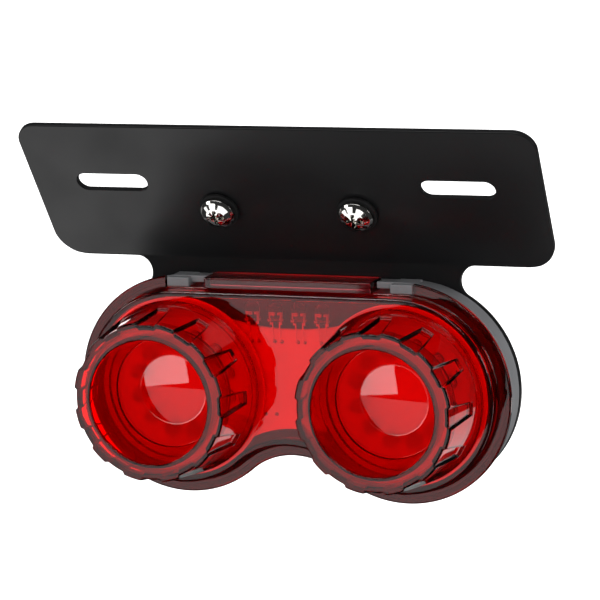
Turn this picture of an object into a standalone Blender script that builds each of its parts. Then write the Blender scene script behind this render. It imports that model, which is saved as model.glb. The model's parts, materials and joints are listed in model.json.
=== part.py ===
"""Motorcycle tail light: a twin-eye red lamp on a folded licence-plate bracket.

The lamp is modelled lying on its back. Every part hangs under the empty "lamp_stand", which turns the
whole lamp upright: a part's own X is the lamp's width, its own Y is the lamp's height above the eyes'
centre line, and its own Z is the height above the bracket's back face, towards the viewer.
Parts on the folded-over upper plate hang under the empty "plate_stand" on that plate's front face.
Lengths are in millimetres and are turned into metres by MM.
"""

import math

import bmesh
import bpy

MM = 0.001
GAP = 0.3  # between two pieces that touch
ARC_STEP = math.radians(6)  # of the large outlines
SIDES = (("left", -1), ("right", 1))

# The lamp's outline: a circle about each eye, a straight top, and a hollow waist below.
EYE_X = 40.0
WAIST_DROP = 47.5  # the waist arc's centre below the eyes' line
LENS_R = 33.4
FLANGE_R = 37.9
HOUSING_R = 37.5
SHEET_R = 36.5

# Heights above the bracket's back face.
SHEET = 2.0
HOUSING_BACK = SHEET + GAP
HOUSING_RIM = 13.7
SEAL_TOP = 14.9
FLANGE_BACK = SEAL_TOP + GAP
FLANGE_FRONT = 16.9
LENS_FACE = 22.4
RING_BACK = LENS_FACE + GAP
RING_FRONT = 46.9

# The fold and the upper plate; heights along the flat sheet.
FOLD_START = 41.45
FOLD_ANGLE = math.radians(30.9)
FOLD_MID_R = 2.5
NECK_HALF = 56.4
WING_FOOT = 41.6
WING_TOP = 99.6
WING_FOOT_HALF = 91.0
WING_TOP_HALF = 92.4
SLOT_X, SLOT_UP, SLOT_LENGTH, SLOT_WIDTH = 62.2, 75.1, 26.0, 7.0
PLATE_SCREW_X, PLATE_SCREW_UP = 25.0, 64.4
PLATE_ORIGIN_UP, PLATE_ORIGIN_HEIGHT = 41.2, 1.6  # on the upper plate's front face
PLATE_ORIGIN_ALONG = 41.6  # that point's height along the flat sheet

# Fasteners, all M6.
SHANK_R = 3.0
HOLE_R = 3.3
STUD_X = 24.0
GROMMET_UP = 6.0
GROMMET_HOLE_R = 6.3

# The eyes.
MOUTH_R = 21.4
BOWL_FLOOR_R = 19.1
BOWL_END = 28.9
DOME_EDGE_R = 12.7
DOME_APEX = 25.9
DOME_CURVE_R = 80.0
RING_RIM_R = 27.4
RING_BASE_R = 30.4
RING_STEPS = 72
NOTCHES = 12
NOTCH_PHASE = math.radians(3)
NOTCH_DEPTH = 1.6
NOTCH_LENGTH = 16.0
NOTCH_RIM_HALF = 4.1
NOTCH_END_HALF = 2.25

# What is inside.
LENS_WALL = 1.8  # of its side and its face
CUP_R = 31.2
BOARD_R = 28.6
BOARD_BACK, BOARD_FRONT = 14.3, 15.9
EYE_LEDS = 12
EYE_LED_CIRCLE_R = 16.0
PLATE_LED_XS = (-12.6, -4.2, 4.2, 12.6)
PLATE_LED_UP = 23.7
PLATE_LED_HEIGHT = 17.5
WINDOW_HALF = 30.7
TOP_GAP_HALF = 45.0


def clear_scene():
    for thing in list(bpy.data.objects):
        bpy.data.objects.remove(thing, do_unlink=True)


def new_collection(name, hidden=False):
    made = bpy.data.collections.new(name)
    bpy.context.scene.collection.children.link(made)
    made.hide_render = hidden
    return made


def new_material(name, colour, roughness, metallic=0.0, alpha=1.0):
    made = bpy.data.materials.new(name)
    made.use_nodes = True
    shader = made.node_tree.nodes["Principled BSDF"]
    shader.inputs["Base Color"].default_value = (*colour, 1.0)
    shader.inputs["Roughness"].default_value = roughness
    shader.inputs["Metallic"].default_value = metallic
    shader.inputs["Alpha"].default_value = alpha
    return made


def new_empty(name, location=(0, 0, 0), turn=0.0, parent=None):
    made = bpy.data.objects.new(name, None)
    made.location = [value * MM for value in location]
    made.rotation_euler = (turn, 0, 0)
    made.parent = parent
    PARTS.objects.link(made)
    return made


def new_object(name, mesh, parent, material=None, location=(0, 0, 0)):
    """A part in the parts' collection or, with no material, a cutter that is never rendered."""
    made = bpy.data.objects.new(name, mesh)
    made.parent = parent
    made.location = [value * MM for value in location]
    if material is None:
        CUTTERS.objects.link(made)
        made.hide_render = True
        made.display_type = "WIRE"
    else:
        PARTS.objects.link(made)
        mesh.materials.append(material)
    return made


def combine(target, other, operation):
    modifier = target.modifiers.new(operation.lower(), "BOOLEAN")
    modifier.solver = "EXACT"
    modifier.operation = operation
    modifier.object = other


# Outlines


def arc(centre, radius, start, end, step=ARC_STEP):
    """Points along an arc, both ends included; it turns anticlockwise where end is the larger."""
    count = max(2, round(abs(end - start) / step))
    angles = [start + (end - start) * i / count for i in range(count + 1)]
    return [(centre[0] + radius * math.cos(a), centre[1] + radius * math.sin(a)) for a in angles]


def circle(centre, radius, count=24):
    return arc(centre, radius, 0, math.tau, math.tau / count)[:-1]


def mirrored(points):
    """The right half of an outline, drawn from top to bottom, followed by its left half."""
    return points + [(-x, y) for x, y in reversed(points) if x > 1e-6]


def lamp_lower_half(radius, start):
    """The right side of the lamp's outline, from the angle start down to the middle of the waist."""
    meeting = math.atan2(WAIST_DROP, EYE_X)
    waist_r = math.hypot(EYE_X, WAIST_DROP) - radius
    return arc((EYE_X, 0), radius, start, -math.pi + meeting) + arc(
        (0, -WAIST_DROP), waist_r, meeting, math.pi / 2
    )[1:]


def lamp_outline(radius):
    return mirrored(lamp_lower_half(radius, math.pi / 2))


def slot_outline(x, up, length, width):
    reach = (length - width) / 2
    right = arc((x + reach, up), width / 2, math.pi / 2, -math.pi / 2, math.pi / 8)
    left = arc((x - reach, up), width / 2, -math.pi / 2, -math.pi * 3 / 2, math.pi / 8)
    return right + left


def sheet_outline():
    """The bracket's flat pattern: wings, a bay under each wing, and the lamp's outline."""
    inward = NECK_HALF - EYE_X - WING_FOOT - SHEET_R
    bay_r = -inward - math.sqrt(inward**2 - (NECK_HALF - EYE_X) ** 2 - WING_FOOT**2 + SHEET_R**2)
    bay = (NECK_HALF + bay_r, WING_FOOT - bay_r)
    meeting = math.atan2(bay[1], bay[0] - EYE_X)
    top_r, foot_r = 7.5, 11.0
    right = arc((WING_TOP_HALF - top_r, WING_TOP - top_r), top_r, math.pi / 2, 0, math.pi / 12)
    right += arc((WING_FOOT_HALF - foot_r, WING_FOOT + foot_r), foot_r, 0, -math.pi / 2, math.pi / 16)
    right += arc(bay, bay_r, math.pi / 2, math.pi + meeting, math.pi / 12)
    right += lamp_lower_half(SHEET_R, meeting)[1:]
    return mirrored(right)


# Solids


def slab(name, loops, low, high, parent, material=None):
    """A flat outline, with any holes as further loops, filled between two heights."""
    curve = bpy.data.curves.new(name, "CURVE")
    curve.dimensions = "2D"
    curve.fill_mode = "BOTH"
    curve.extrude = (high - low) / 2 * MM
    for loop in loops:
        spline = curve.splines.new("POLY")
        spline.points.add(len(loop) - 1)
        spline.use_cyclic_u = True
        for point, (x, y) in zip(spline.points, loop):
            point.co = (x * MM, y * MM, 0, 1)
    drawn = bpy.data.objects.new(name + "_curve", curve)
    mesh = bpy.data.meshes.new_from_object(drawn)
    bpy.data.objects.remove(drawn)
    made = bmesh.new()
    made.from_mesh(mesh)
    bmesh.ops.translate(made, vec=(0, 0, (low + high) / 2 * MM), verts=made.verts)
    bmesh.ops.remove_doubles(made, verts=made.verts, dist=1e-6)
    bmesh.ops.recalc_face_normals(made, faces=made.faces)
    made.to_mesh(mesh)
    made.free()
    return new_object(name, mesh, parent, material)


def block(name, low, high, parent, material=None, taper=0.0):
    """A box between two corners; taper draws its two long ends in towards the top by that much."""
    mesh = bpy.data.meshes.new(name)
    made = bmesh.new()
    bmesh.ops.create_cube(made, size=1.0)
    for vertex in made.verts:
        for axis in range(3):
            share = vertex.co[axis] + 0.5
            vertex.co[axis] = (low[axis] + (high[axis] - low[axis]) * share) * MM
        if vertex.co.y > (low[1] + high[1]) / 2 * MM:
            vertex.co.x -= math.copysign(taper * MM, vertex.co.x)
    made.to_mesh(mesh)
    made.free()
    return new_object(name, mesh, parent, material)


def rod(name, centre, radius, low, high, parent, material=None, sides=24):
    """A round bar along the parent's own Z, or a hexagonal one with six sides."""
    mesh = bpy.data.meshes.new(name)
    made = bmesh.new()
    bmesh.ops.create_cone(
        made, cap_ends=True, segments=sides, radius1=radius * MM, radius2=radius * MM, depth=(high - low) * MM
    )
    middle = (centre[0] * MM, centre[1] * MM, (low + high) / 2 * MM)
    bmesh.ops.translate(made, vec=middle, verts=made.verts)
    made.to_mesh(mesh)
    made.free()
    return new_object(name, mesh, parent, material)


def turned(name, profile, steps, parent, material=None, location=(0, 0, 0), closed=False):
    """A profile of (radius, height) points, down the outer side from the top, spun about its own Z."""
    mesh = bpy.data.meshes.new(name)
    count = len(profile)
    edges = [(i, i + 1) for i in range(count - 1)]
    if closed:
        edges.append((count - 1, 0))
    mesh.from_pydata([(r * MM, 0, h * MM) for r, h in profile], edges, [])
    made = new_object(name, mesh, parent, material, location)
    screw = made.modifiers.new("spin", "SCREW")
    screw.steps = steps
    screw.render_steps = steps
    screw.use_merge_vertices = True
    screw.merge_threshold = 1e-6
    return made


def wire(name, points, radius, parent):
    """A thin round wire through a few points, as a mesh that can be joined to a body."""
    curve = bpy.data.curves.new(name, "CURVE")
    curve.dimensions = "3D"
    curve.bevel_depth = radius * MM
    curve.bevel_resolution = 1
    curve.use_fill_caps = True
    spline = curve.splines.new("POLY")
    spline.points.add(len(points) - 1)
    for point, place in zip(spline.points, points):
        point.co = (*[value * MM for value in place], 1)
    drawn = bpy.data.objects.new(name + "_curve", curve)
    mesh = bpy.data.meshes.new_from_object(drawn)
    bpy.data.objects.remove(drawn)
    made = bmesh.new()
    made.from_mesh(mesh)
    bmesh.ops.remove_doubles(made, verts=made.verts, dist=1e-6)
    bmesh.ops.recalc_face_normals(made, faces=made.faces)
    made.to_mesh(mesh)
    made.free()
    return new_object(name, mesh, parent)


# Sub-parts


def folded(along, offset):
    """Where a point of the flat sheet goes: its height and its distance from the back face."""
    turn = min(max((along - FOLD_START) / FOLD_MID_R, 0.0), FOLD_ANGLE)
    before = min(along, FOLD_START)
    past = max(along - FOLD_START - FOLD_ANGLE * FOLD_MID_R, 0.0)
    inner = FOLD_MID_R - offset
    up = before + inner * math.sin(turn) + past * math.cos(FOLD_ANGLE)
    out = SHEET / 2 + FOLD_MID_R - inner * math.cos(turn) + past * math.sin(FOLD_ANGLE)
    return up, out


def make_bracket(stand, material):
    """One sheet cut to its flat pattern, then folded forwards along a line across its neck."""
    holes = []
    for _, side in SIDES:
        holes.append(slot_outline(side * SLOT_X, SLOT_UP, SLOT_LENGTH, SLOT_WIDTH))
        holes.append(circle((side * PLATE_SCREW_X, PLATE_SCREW_UP), HOLE_R))
        holes.append(circle((side * STUD_X, 0), HOLE_R))
    holes.append(circle((0, GROMMET_UP), GROMMET_HOLE_R))
    bracket = slab("bracket", [sheet_outline()] + holes, -SHEET / 2, SHEET / 2, stand, material)
    made = bmesh.new()
    made.from_mesh(bracket.data)
    cuts = 4
    for i in range(cuts + 1):
        place = (FOLD_START + FOLD_ANGLE * FOLD_MID_R * i / cuts) * MM
        everything = made.verts[:] + made.edges[:] + made.faces[:]
        bmesh.ops.bisect_plane(made, geom=everything, plane_co=(0, place, 0), plane_no=(0, 1, 0))
    for vertex in made.verts:
        up, out = folded(vertex.co.y / MM, vertex.co.z / MM)
        vertex.co.y, vertex.co.z = up * MM, out * MM
    made.to_mesh(bracket.data)
    made.free()


def make_housing(stand, material):
    """The grey tray behind the lens, with two lugs on its top and a notch between them."""
    wall, floor = 2.2, 2.0
    housing = slab("rear_housing", [lamp_outline(HOUSING_R)], HOUSING_BACK, HOUSING_RIM, stand, material)
    inside_low = HOUSING_BACK + floor
    inside = slab("housing_inside", [lamp_outline(HOUSING_R - wall)], inside_low, HOUSING_RIM + 5, stand)
    combine(housing, inside, "DIFFERENCE")
    for name, side in SIDES:
        low_x, high_x = sorted((side * 36.5, side * 44.6))
        lug = block("lug_" + name, (low_x, 33.9, 6), (high_x, 37.2, 16.5), stand)
        combine(housing, lug, "UNION")
        boss = rod("boss_" + name, (side * EYE_X, 0), 3.0, HOUSING_BACK + 1, BOARD_BACK - GAP, stand)
        combine(housing, boss, "UNION")
        hole = rod("stud_hole_" + name, (side * STUD_X, 0), HOLE_R, 0, 8, stand)
        combine(housing, hole, "DIFFERENCE")
    reach = WINDOW_HALF + GAP
    notch = block("window_notch", (-reach, 33, 6.6), (reach, 40, 20), stand)
    combine(housing, notch, "DIFFERENCE")
    outlet = rod("outlet_hole", (0, GROMMET_UP), GROMMET_HOLE_R, 0, 8, stand)
    combine(housing, outlet, "DIFFERENCE")


def make_seal(stand, material):
    """A rubber strip under the lens's flange, open at the top where the window sits."""
    low = HOUSING_RIM + GAP
    seal = slab("lens_seal", [lamp_outline(FLANGE_R - 0.7)], low, SEAL_TOP, stand, material)
    inside = slab("seal_inside", [lamp_outline(HOUSING_R - 2.2)], low - 1, SEAL_TOP + 1, stand)
    combine(seal, inside, "DIFFERENCE")
    opening = block("seal_opening", (-TOP_GAP_HALF, 20, 10), (TOP_GAP_HALF, 40, 20), stand)
    combine(seal, opening, "DIFFERENCE")


def make_lens(stand, material):
    """The red cover: a raised face, a side wall and a flange, with a round opening under each eye."""
    lens = slab("lens_cover", [lamp_outline(LENS_R)], FLANGE_BACK + 0.6, LENS_FACE, stand, material)
    flange = slab("lens_flange", [lamp_outline(FLANGE_R)], FLANGE_BACK, FLANGE_FRONT, stand)
    gap = block("lens_top_gap", (-TOP_GAP_HALF, 32.9, 10), (TOP_GAP_HALF, 40, 20), stand)
    combine(flange, gap, "DIFFERENCE")
    combine(lens, flange, "UNION")
    inside = slab("lens_inside", [lamp_outline(LENS_R - LENS_WALL)], 10, LENS_FACE - LENS_WALL, stand)
    combine(lens, inside, "DIFFERENCE")
    for name, side in SIDES:
        opening = rod("lens_opening_" + name, (side * EYE_X, 0), 26.5, 10, 30, stand, sides=60)
        combine(lens, opening, "DIFFERENCE")


def notch_cutter(name, stand, location):
    """Twelve tapered blocks round a ring, wide at its rim, each as deep as one notch."""
    mesh = bpy.data.meshes.new(name)
    made = bmesh.new()
    lean = (RING_BASE_R - RING_RIM_R) / (RING_FRONT - RING_BACK)
    for i in range(NOTCHES):
        angle = NOTCH_PHASE + math.tau * i / NOTCHES
        block_verts = bmesh.ops.create_cube(made, size=1.0)["verts"]
        for vertex in block_verts:
            at_rim = vertex.co.z > 0
            height = RING_FRONT + 1.0 if at_rim else RING_FRONT - NOTCH_LENGTH
            half = NOTCH_RIM_HALF if at_rim else NOTCH_END_HALF
            outer = RING_RIM_R + (RING_FRONT - height) * lean
            radius = outer + 3.0 if vertex.co.x > 0 else outer - NOTCH_DEPTH
            across = math.copysign(half, vertex.co.y)
            vertex.co.x = (radius * math.cos(angle) - across * math.sin(angle)) * MM
            vertex.co.y = (radius * math.sin(angle) + across * math.cos(angle)) * MM
            vertex.co.z = height * MM
    bmesh.ops.recalc_face_normals(made, faces=made.faces)
    made.to_mesh(mesh)
    made.free()
    return new_object(name, mesh, stand, None, location)


def make_ring(name, stand, location, material):
    """An eye's ring: a notched outer wall and a smooth bowl wall that meet at the front rim."""
    profile = [
        (26.4, RING_FRONT),
        (RING_RIM_R, RING_FRONT - 1.0),
        (RING_BASE_R, RING_BACK),
        (RING_BASE_R - 3.2, RING_BACK),
        (24.6, 43.4),
        (22.9, 43.4),
        (20.9, BOWL_END),
        (BOWL_FLOOR_R, BOWL_END),
        (MOUTH_R, RING_FRONT - 1.5),
        (23.2, RING_FRONT),
    ]
    ring = turned("eye_ring_" + name, profile, RING_STEPS, stand, material, location, closed=True)
    combine(ring, notch_cutter("notches_" + name, stand, location), "DIFFERENCE")


def make_eye_lens(name, stand, location, material):
    """The bowl's floor: a shallow dome in the middle of a cone that rises to the bowl wall."""
    thick = 2.0
    top = BOWL_END - GAP
    radii = [DOME_EDGE_R * i / 4 for i in range(5)]
    fall = [DOME_APEX - DOME_CURVE_R + math.sqrt(DOME_CURVE_R**2 - r**2) for r in radii]
    profile = [*zip(radii, fall), (19.0, top), (20.8, top), (20.8, top - thick), (19.4, top - thick)]
    profile += [(DOME_EDGE_R + 0.3, fall[-1] - thick), (0.0, DOME_APEX - thick)]
    turned("eye_lens_" + name, profile, 60, stand, material, location)


def make_reflector(name, stand, location, material):
    """A shallow silvered cone round each eye's LEDs."""
    profile = [(CUP_R, 19.4), (CUP_R, 18.1), (23.0, BOARD_FRONT + GAP), (23.0, BOARD_FRONT + GAP + 1.3)]
    turned("reflector_" + name, profile, 60, stand, material, location, closed=True)


def make_board(stand, material):
    """The circuit board behind both eyes; its top edge sags towards the middle."""
    board = slab("circuit_board", [lamp_outline(BOARD_R)], BOARD_BACK, BOARD_FRONT, stand, material)
    sag_r = 94.0
    above = rod("board_top_cut", (0, 20.5 + sag_r), sag_r, 10, 20, stand, sides=180)
    combine(board, above, "DIFFERENCE")


def make_eye_led(name, stand, location, material):
    """A short round LED standing on the board."""
    low = BOARD_FRONT + GAP
    profile = [(0, low + 5.4), (1.4, low + 5.0), (2.3, low + 3.6), (2.3, low + 1), (2.7, low + 1), (2.7, low), (0, low)]
    turned(name, profile, 12, stand, material, location)


def make_plate_led(number, x, stand, material):
    """A 5 mm LED that points up at the licence plate, with its two leads bent back to the board."""
    turn = new_empty(f"plate_led_stand_{number}", (x, PLATE_LED_UP, PLATE_LED_HEIGHT), -math.pi / 2, stand)
    profile = [(0, 7.0), (1.2, 6.7), (2.1, 5.9), (2.5, 4.6), (2.5, 1.0), (2.9, 1.0), (2.9, 0), (0, 0)]
    led = turned(f"plate_led_{number}", profile, 16, turn, material)
    reach = PLATE_LED_HEIGHT - BOARD_FRONT - GAP
    for place in (-1.27, 1.27):
        route = ((place, 0, 0.4), (place, 0, -6.2), (place, reach, -6.7))
        lead = wire(f"lead_{number}_{'a' if place < 0 else 'b'}", route, 0.3, turn)
        combine(led, lead, "UNION")


def make_window(stand, material):
    """The clear bar over the top edge, which lets the light out on to the licence plate."""
    window = block("plate_window", (-WINDOW_HALF, 34.0, 6.9), (WINDOW_HALF, 37.8, 18.2), stand, material, 1.2)
    bevel = window.modifiers.new("edges", "BEVEL")
    bevel.width = 1.0 * MM
    bevel.segments = 1
    bevel.limit_method = "ANGLE"


def cross_cutter(name, stand, location, top):
    """Two crossed tapered blades that sink a cross recess into a screw's head."""
    blades = []
    for label, reach in (("a", (2.9, 0.75)), ("b", (0.75, 2.9))):
        blade = block(f"{name}_{label}", (-reach[0], -reach[1], top - 2.2), (reach[0], reach[1], top + 2), stand)
        blade.location = [value * MM for value in location]
        blades.append(blade)
    return blades


def make_nut(name, centre, low, high, stand, material):
    nut = rod(name, centre, 5.0 / math.cos(math.pi / 6), low, high, stand, material, sides=6)
    combine(nut, rod(name + "_hole", centre, HOLE_R, low - 1, high + 1, stand), "DIFFERENCE")


def make_washer(name, centre, radius, low, high, stand, material):
    washer = rod(name, centre, radius, low, high, stand, material, sides=32)
    combine(washer, rod(name + "_hole", centre, HOLE_R, low - 1, high + 1, stand), "DIFFERENCE")


def make_plate_fastening(name, side, stand, materials):
    """A cross-head screw through the upper plate, its rubber washer in front and its nut behind."""
    centre = (side * PLATE_SCREW_X, PLATE_SCREW_UP - PLATE_ORIGIN_ALONG)
    place = (*centre, 0)
    make_washer("plate_washer_" + name, centre, 7.0, GAP, GAP + 1.2, stand, materials["rubber"])
    low, top = 2 * GAP + 1.2, 5.2
    head = [(0, top), (2.4, top - 0.2), (4.4, top - 0.9), (5.6, top - 2.1), (6.0, low + 0.4), (6.0, low)]
    shank = [(SHANK_R, low), (SHANK_R, -11.6), (SHANK_R - 0.4, -12.0), (0, -12.0)]
    screw = turned("plate_screw_" + name, head + shank, 32, stand, materials["chrome"], place)
    for blade in cross_cutter("plate_screw_cross_" + name, stand, place, top):
        combine(screw, blade, "DIFFERENCE")
    make_nut("plate_nut_" + name, centre, -SHEET - GAP - 5, -SHEET - GAP, stand, materials["zinc"])


def make_mount_fastening(name, side, stand, materials):
    """A stud held in the housing that passes through the bracket, with its washer and nut behind."""
    centre = (side * STUD_X, 0)
    low = HOUSING_BACK + 2.0 + GAP
    head = [(0, low + 4), (5.0, low + 4), (5.0, low)]
    shank = [(SHANK_R, low), (SHANK_R, -13.6), (SHANK_R - 0.4, -14.0), (0, -14.0)]
    turned("mount_stud_" + name, head + shank, 24, stand, materials["zinc"], (*centre, 0))
    make_washer("mount_washer_" + name, centre, 6.4, -GAP - 1.6, -GAP, stand, materials["zinc"])
    make_nut("mount_nut_" + name, centre, -2 * GAP - 6.6, -2 * GAP - 1.6, stand, materials["zinc"])


def make_grommet(stand, material):
    """The rubber ring in the outlet hole, through the housing's floor and the bracket."""
    profile = [(6.0, 4.6), (6.0, -GAP), (8.0, -GAP), (8.0, -2.3), (2.6, -2.3), (2.6, 4.6)]
    turned("cable_grommet", profile, 32, stand, material, (0, GROMMET_UP, 0), closed=True)


def make_materials():
    return {
        "steel": new_material("powder_coated_steel", (0.006, 0.006, 0.006), 0.35),
        "lens": new_material("red_lens", (0.55, 0.0, 0.004), 0.08, alpha=0.6),
        "eye": new_material("red_eye_lens", (0.75, 0.02, 0.03), 0.05, alpha=0.6),
        "window": new_material("clear_window", (0.55, 0.3, 0.3), 0.1, alpha=0.5),
        "housing": new_material("grey_housing", (0.16, 0.16, 0.165), 0.5),
        "board": new_material("white_board", (0.75, 0.72, 0.7), 0.5),
        "silver": new_material("silvered_reflector", (0.8, 0.8, 0.8), 0.15, 1.0),
        "led": new_material("clear_led", (0.8, 0.75, 0.72), 0.1, alpha=0.6),
        "rubber": new_material("black_rubber", (0.012, 0.012, 0.012), 0.7),
        "chrome": new_material("chrome_steel", (0.75, 0.75, 0.75), 0.08, 1.0),
        "zinc": new_material("zinc_steel", (0.5, 0.5, 0.52), 0.3, 1.0),
    }


def main():
    materials = make_materials()
    stand = new_empty("lamp_stand", turn=math.pi / 2)
    plate = new_empty("plate_stand", (0, PLATE_ORIGIN_UP, PLATE_ORIGIN_HEIGHT), FOLD_ANGLE, stand)
    make_bracket(stand, materials["steel"])
    make_housing(stand, materials["housing"])
    make_seal(stand, materials["rubber"])
    make_lens(stand, materials["lens"])
    make_board(stand, materials["board"])
    make_window(stand, materials["window"])
    make_grommet(stand, materials["rubber"])
    for number, x in enumerate(PLATE_LED_XS, 1):
        make_plate_led(number, x, stand, materials["led"])
    for name, side in SIDES:
        eye = (side * EYE_X, 0, 0)
        make_ring(name, stand, eye, materials["eye"])
        make_eye_lens(name, stand, eye, materials["eye"])
        make_reflector(name, stand, eye, materials["silver"])
        for i in range(EYE_LEDS):
            angle = math.tau * (i + 0.5) / EYE_LEDS
            reach = (EYE_LED_CIRCLE_R * math.cos(angle), EYE_LED_CIRCLE_R * math.sin(angle))
            place = (eye[0] + reach[0], reach[1], 0)
            make_eye_led(f"eye_led_{name}_{i + 1:02d}", stand, place, materials["led"])
        make_plate_fastening(name, side, plate, materials)
        make_mount_fastening(name, side, stand, materials)


clear_scene()
PARTS = new_collection("motorcycle_tail_light")
CUTTERS = new_collection("cutters", hidden=True)
main()
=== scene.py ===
"""Looks of a motorcycle tail light: a twin-eye red lamp on a folded licence-plate bracket.

Every piece is worked out in millimetres on a stand of its own and then placed in the frame in metres.
On the lamp's stand x runs across, y up from the eyes' centre line and z out towards the viewer from the
bracket's back face. A profile is a list of (distance from the outline's foot, height) rows.
"""

import functools
import json
import logging
import math
from collections.abc import Sequence
from dataclasses import dataclass, field
from enum import Enum
from typing import Any

import bmesh
import bpy
import numpy as np
from mathutils import Matrix, Vector
from numpy.typing import NDArray

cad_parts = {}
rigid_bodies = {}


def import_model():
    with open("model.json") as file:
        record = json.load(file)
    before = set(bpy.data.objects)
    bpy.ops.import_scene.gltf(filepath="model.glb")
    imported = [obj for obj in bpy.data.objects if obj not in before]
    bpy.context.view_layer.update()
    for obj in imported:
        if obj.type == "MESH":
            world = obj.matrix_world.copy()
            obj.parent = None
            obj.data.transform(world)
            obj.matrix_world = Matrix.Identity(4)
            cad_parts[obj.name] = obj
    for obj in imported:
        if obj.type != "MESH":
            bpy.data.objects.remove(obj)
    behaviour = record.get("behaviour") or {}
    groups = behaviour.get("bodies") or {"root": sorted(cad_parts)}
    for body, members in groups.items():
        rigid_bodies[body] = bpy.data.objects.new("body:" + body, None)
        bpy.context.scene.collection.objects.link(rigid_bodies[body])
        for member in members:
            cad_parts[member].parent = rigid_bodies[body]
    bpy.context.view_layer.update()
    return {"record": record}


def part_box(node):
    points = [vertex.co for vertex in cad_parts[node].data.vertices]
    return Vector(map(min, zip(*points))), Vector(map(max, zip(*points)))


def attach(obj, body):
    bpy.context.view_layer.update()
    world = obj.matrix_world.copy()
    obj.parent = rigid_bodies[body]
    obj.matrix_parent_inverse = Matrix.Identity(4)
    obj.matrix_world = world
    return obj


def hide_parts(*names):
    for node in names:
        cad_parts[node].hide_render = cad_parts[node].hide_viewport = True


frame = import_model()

LOG = logging.getLogger("tail_light")
Array = NDArray[np.float64]
MM = 0.001
SIDES = (("left", -1), ("right", 1))
SUPPORT = 0.03  # an extra row this far from a rounding keeps the flat next to it flat
SHARP = math.radians(32)


# Frame sizes


def box_mm(node: str) -> tuple[Array, Array]:
    """A CAD node's lowest and highest corner in the lamp's own axes.

    Args:
        node: the CAD node's name.

    Returns:
        Two points (x, up, height), in millimetres.
    """
    low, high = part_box(node)
    return np.array((low.x, low.z, -high.y)) / MM, np.array((high.x, high.z, -low.y)) / MM


@dataclass(frozen=True)
class Stand:
    """Where a sub-assembly's own axes lie in the world."""

    origin: tuple[float, float, float] = (0.0, 0.0, 0.0)
    across: tuple[float, float, float] = (1.0, 0.0, 0.0)
    up: tuple[float, float, float] = (0.0, 0.0, 1.0)
    out: tuple[float, float, float] = (0.0, -1.0, 0.0)

    def place(self, points: Array) -> Array:
        """Own millimetres to world metres: origin + x * across + y * up + z * out."""
        return points @ np.array((self.across, self.up, self.out)) * MM + np.array(self.origin)

    def moved(self, x: float, y: float, z: float = 0.0) -> "Stand":
        """The same stand with its origin moved by own millimetres."""
        return Stand(tuple(self.place(np.array((x, y, z)))), self.across, self.up, self.out)

    def upended(self) -> "Stand":
        """The same stand laid on its back, so that its own z points where its y did."""
        return Stand(self.origin, self.across, tuple(-np.array(self.out)), self.up)


LAMP = Stand()
FLAT = Stand(up=(0.0, 1.0, 0.0), out=(0.0, 0.0, 1.0))  # own axes laid along the world's


# Outlines and profiles


@dataclass(frozen=True)
class Outline:
    """A closed outline that grows evenly: each point is its foot + distance * its normal, anticlockwise."""

    feet: Array
    normals: Array

    def sweep(self, rows: Array) -> Array:
        """Carries a profile round the outline.

        Args:
            rows: (k, 2) distances and heights.

        Returns:
            (k, n, 3) points: row i's outline at its distance and height.
        """
        flat = self.feet[None] + rows[:, 0, None, None] * self.normals[None]
        heights = np.broadcast_to(rows[:, 1, None, None], (*flat.shape[:2], 1))
        return np.concatenate((flat, heights), axis=2)


def directions(start: float, end: float, count: int) -> Array:
    """Unit vectors at evenly spaced angles, both ends included."""
    angles = np.linspace(start, end, count)
    return np.stack((np.cos(angles), np.sin(angles)), axis=1)


def round_outline(centre: tuple[float, float] = (0.0, 0.0), count: int = 96) -> Outline:
    """A circle: every foot is its centre, and the normals go once round."""
    normals = directions(0, math.tau, count + 1)[:-1]
    return Outline(np.broadcast_to(np.array(centre), normals.shape), normals)


def pill_outline(centre: tuple[float, float], reach: float, count: int = 24) -> Outline:
    """A slot's outline: two half circles joined by straight sides.

    Args:
        centre: the slot's middle.
        reach: how far to each side of it the half circles' centres lie.
        count: how many points make a half circle.

    Returns:
        The outline, whose feet are the half circles' centres.
    """
    right, left = directions(-math.pi / 2, math.pi / 2, count), directions(math.pi / 2, math.pi * 1.5, count)
    feet = [np.full(right.shape, centre) + (reach, 0), np.full(left.shape, centre) - (reach, 0)]
    return Outline(np.concatenate(feet), np.concatenate((right, left)))


def block_outline(low: Sequence[float], high: Sequence[float], corner: float, count: int = 5) -> Outline:
    """A rectangle with round corners, which at distance 0 has the full size.

    Args:
        low: its lowest x and y.
        high: its highest x and y.
        corner: the corners' radius; a negative distance stays below it.
        count: how many points make a corner.

    Returns:
        The outline.
    """
    feet, normals = [], []
    middle = (np.array(low) + np.array(high)) / 2
    corners = ((high[0], low[1]), (high[0], high[1]), (low[0], high[1]), (low[0], low[1]))
    for turn, place in enumerate(corners):
        start = (turn - 1) * math.pi / 2
        normal = directions(start, start + math.pi / 2, count)
        feet.append(np.array(place) + np.copysign(corner, middle - place) + normal * corner)
        normals.append(normal)
    return Outline(np.concatenate(feet), np.concatenate(normals))


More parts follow.
